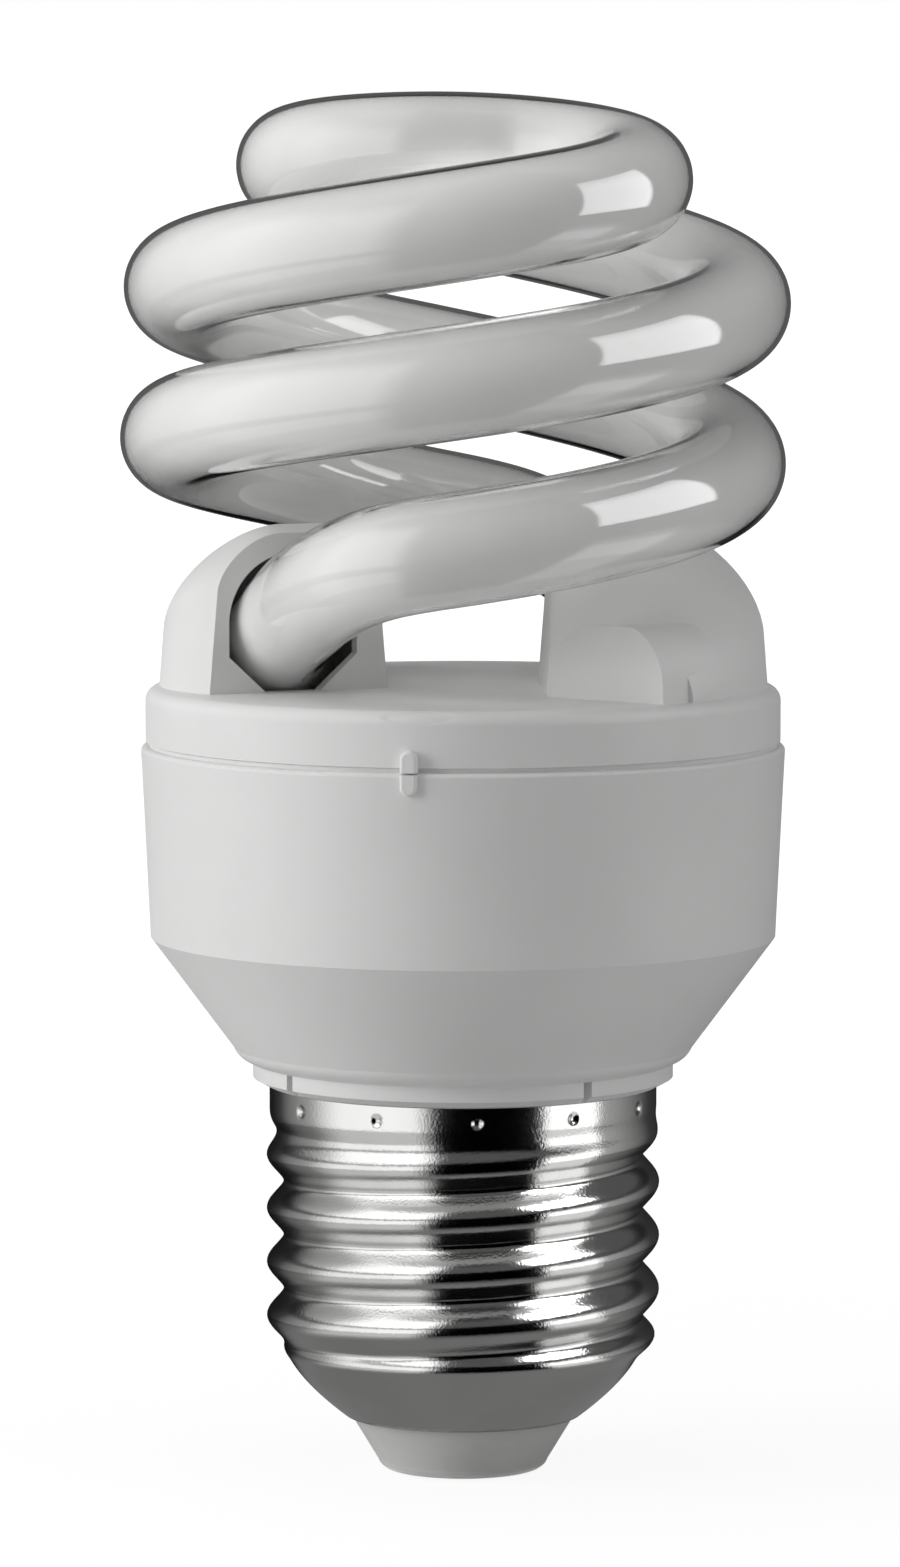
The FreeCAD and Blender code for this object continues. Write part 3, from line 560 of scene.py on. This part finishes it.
glass_rings = tube_rings(tube_line, glass_radius) + tube_rings(tube_line, bore_radius)[::-1]
glass_mesh = grid_mesh("tube_glass", glass_rings, True)
coat_mesh = grid_mesh("phosphor_coat", tube_rings(tube_line, coat_radius))
show("tube_glass", glass_mesh, clear_glass(), "phosphor_glass", "discharge_tube")
show("phosphor_coat", coat_mesh, phosphor(), "phosphor_glass")


# Studio: a pale floor, a soft lamp on the left, weaker ones on the right and overhead, and a small
# one inside the coil for the light that comes in through the front turns. The tent round the bulb
# shows only in reflections and through the glass, as the panels of a studio do.
def stage_piece(name, mesh, finish):
    made = bpy.data.objects.new(name, mesh)
    bpy.context.scene.collection.objects.link(made)
    mesh.materials.append(finish)
    return made


def seen_directly(start):
    camera = start.node("ShaderNodeLightPath", None, None, "Is Camera Ray")
    glossy = start.node("ShaderNodeLightPath", None, None, "Is Glossy Ray")
    passing = start.node("ShaderNodeLightPath", None, None, "Is Transmission Ray")
    return start.sum("MAXIMUM", start.sum("MAXIMUM", camera, glossy), passing)


floor_half = 6.0
floor_drop = 0.01
floor_fade = (0.06, 0.30)
floor_glow = 0.8
floor_glow_strength = 1.14


def floor_finish():
    finish, start = new_finish("floor_paper")
    paper = start.node("ShaderNodeBsdfDiffuse", None, {"Color": (0.62, 0.62, 0.62, 1)})
    glow = start.node("ShaderNodeEmission", None, {"Strength": floor_glow_strength})
    spot = start.node("ShaderNodeNewGeometry", None, None, "Position")
    away = start.node("ShaderNodeVectorMath", {"operation": "LENGTH"}, {0: spot}, "Value")
    share = seen_directly(start) * (floor_glow + (1 - floor_glow) * away.between(*floor_fade))
    close(start, start.node("ShaderNodeMixShader", None, {0: share, 1: paper, 2: glow}))
    return finish


floor_mesh = bpy.data.meshes.new("floor")
floor_corners = [(-1, -1), (1, -1), (1, 1), (-1, 1)]
floor_spots = [(x * floor_half, y * floor_half, -floor_drop * mm) for x, y in floor_corners]
floor_mesh.from_pydata(floor_spots, [], [(0, 1, 2, 3)])
stage_piece("floor", floor_mesh, floor_finish())

tent_radius = 75.0
tent_bottom = 0.5
tent_middle = 60
tent_top = 190.0
tent_peak = 195.0
# Each stop is a share of the way round, from the back by the left, the front at 0.5 and the
# right to the back again, with the tone of the panel there.
panels = [
    (0.0, 0.0), (0.10, 0.01), (0.14, 0.03), (0.17, 0.12), (0.235, 0.25), (0.275, 0.60),
    (0.30, 0.75), (0.428, 0.80), (0.460, 0.0), (0.619, 0.0), (0.631, 0.97), (0.717, 0.97),
    (0.731, 0.28), (0.80, 0.15), (0.87, 0.03), (1.0, 0.0),
]
panel_strength = 1.6
softbox_strength = 4.5
softbox_turns = (0.615, 0.742)
softbox_heights = (70.0, 141.0)
dark_front_turns = (0.54, 0.58)
gap_heights = (34.0, 47.0)
upper_wall_heights = (42.0, 50.0)
lid_heights = (110.0, 180.0)
table_heights = (1.0, 4.0)
# Reach from the axis where the painted shadow round the bulb's base gives way to the panel bands on
# the tent's bottom.
base_shade_reaches = (16.0, 30.0)


def window(value, low, high, edge):
    return value.between(low, low + edge) * (1 - value.between(high, high + edge))


def tent_finish():
    finish, start = new_finish("studio_tent")
    spot = start.node("ShaderNodeNewGeometry", None, None, "Position")
    parts = start.node("ShaderNodeSeparateXYZ", None, {0: spot}).socket.node.outputs
    x, y, z = (Wire(start.tree, part) for part in parts)
    turn = start.sum("ARCTAN2", x, -1.0 * y) / (2 * math.pi) + 0.5
    height = z / mm
    flat = start.node("ShaderNodeCombineXYZ", None, {0: x, 1: y})
    reach = start.node("ShaderNodeVectorMath", {"operation": "LENGTH"}, {0: flat}, "Value") / mm
    bands = panel_strength * start.node("ShaderNodeValToRGB", {"stops": panels}, {0: turn})
    softbox = window(turn, *softbox_turns, 0.008) * window(height, *softbox_heights, 3.0)
    upper = 0.1 + 1.15 * bands * (1 - turn.between(*dark_front_turns)) + softbox_strength * softbox
    gap = 1 - 0.6 * window(height, *gap_heights, 6.0)
    share = height.between(*upper_wall_heights)
    wall = (bands * (1 - share) + upper * share) * gap
    lid = height.between(*lid_heights)
    wall = wall * (1 - lid) + 0.2 * bands * lid
    # The tent's bottom: further out the panel bands, and near the base a flat grey of 0.2, which is
    # painted shadow of the bulb on the floor as metal and glass reflect it.
    beyond_base_shade = reach.between(*base_shade_reaches)
    table_and_base_shade = 0.55 * bands * beyond_base_shade + 0.2 * (1 - beyond_base_shade)
    rise = height.between(*table_heights)
    level = wall * rise + table_and_base_shade * (1 - rise)
    close(start, start.node("ShaderNodeEmission", None, {"Color": level}))
    return finish


tent_walls = [(tent_radius, z) for z in (tent_bottom, tent_middle, tent_top)]
tent_outline = [(1, tent_bottom)] + tent_walls + [(1, tent_peak)]
tent_rings = [[polar(radius, angle, z) for angle in range(0, 360, 3)] for radius, z in tent_outline]
tent = stage_piece("studio_tent", grid_mesh("studio_tent", tent_rings), tent_finish())
tent.visible_camera = False
tent.visible_diffuse = False
tent.visible_shadow = False


def soft_lamp(name, place, aim, width, height, power):
    data = bpy.data.lights.new(name, "AREA")
    data.shape = "RECTANGLE"
    data.size = width
    data.size_y = height
    data.energy = power
    lamp = bpy.data.objects.new(name, data)
    lamp.location = place
    lamp.rotation_euler = (Vector(aim) - Vector(place)).to_track_quat("-Z", "Y").to_euler()
    lamp.visible_camera = False
    lamp.visible_glossy = False
    lamp.visible_transmission = False
    bpy.context.scene.collection.objects.link(lamp)


lamp_aim = (0, 0, 0.05)
soft_lamp("left_lamp", (-0.62, -0.16, 0.20), lamp_aim, 0.35, 0.5, 3.05)
soft_lamp("right_lamp", (0.55, -0.18, 0.24), lamp_aim, 0.3, 0.35, 0.6)
soft_lamp("top_lamp", (-0.1, 0.0, 0.6), lamp_aim, 0.4, 0.4, 0.9)
soft_lamp("coil_lamp", (0.002, -0.003, 0.080), (-0.08, 0.08, 0.15), 0.012, 0.012, 0.0011)

world = bpy.data.worlds.new("studio")
bpy.context.scene.world = world
world.use_nodes = True
world.node_tree.nodes.clear()
sky = Wire(world.node_tree)
ambient = sky.node("ShaderNodeBackground", None, {"Color": (1, 1, 1, 1), "Strength": 0.25})
white = sky.node("ShaderNodeBackground", None, {"Color": (1, 1, 1, 1), "Strength": 1.0})
sky_light = sky.node("ShaderNodeMixShader", None, {0: seen_directly(sky), 1: ambient, 2: white})
sky.node("ShaderNodeOutputWorld", None, {"Surface": sky_light})
bpy.context.scene.view_settings.view_transform = "Standard"


# Camera: far in front and looking a little down, at the photograph's viewing angle.
camera_tilt = 5.48
camera_data = bpy.data.cameras.new("camera")
camera_data.lens = 179.6
camera_data.clip_end = 50
camera = bpy.data.objects.new("camera", camera_data)
camera.location = (-0.87 * mm, -519 * mm, 96.0 * mm)
camera.rotation_euler = (math.radians(90 - camera_tilt), 0, 0)
bpy.context.scene.collection.objects.link(camera)
bpy.context.scene.camera = camera
